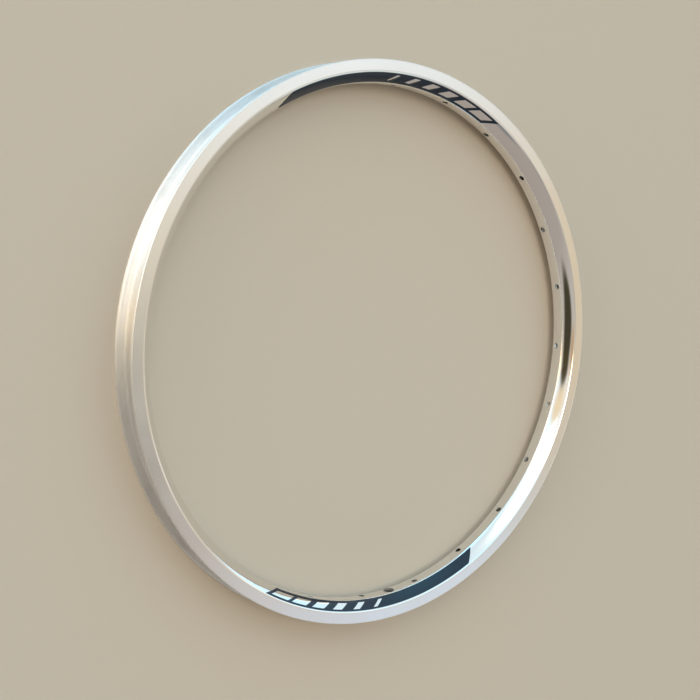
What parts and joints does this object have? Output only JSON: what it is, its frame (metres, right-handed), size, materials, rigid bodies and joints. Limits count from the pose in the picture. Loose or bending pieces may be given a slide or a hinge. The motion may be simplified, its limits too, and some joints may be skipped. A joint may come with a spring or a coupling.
{
  "type": "bicycle rim",
  "caption": "Polished double-wall aluminium bicycle rim with flat brake tracks, a hooked tyre channel, staggered spoke holes, a valve hole and striped black film decals.",
  "frame": {"origin": "centre of the hoop: on its axis, in its middle plane", "axes": "+Z along the hoop's axis, out of the front side with the decals; +Y towards the middle of the decal opposite the valve, which is up in the picture; the rim lies on its back side"},
  "size_m": [0.4186, 0.4185, 0.026],
  "materials": {
    "rim_alloy": "polished",
    "decal_film": "gloss"
  },
  "bodies": {
    "root": {"rim": "rim_alloy", "decal_opposite_valve": "decal_film", "decal_at_valve": "decal_film"}
  },
  "joints": []
}
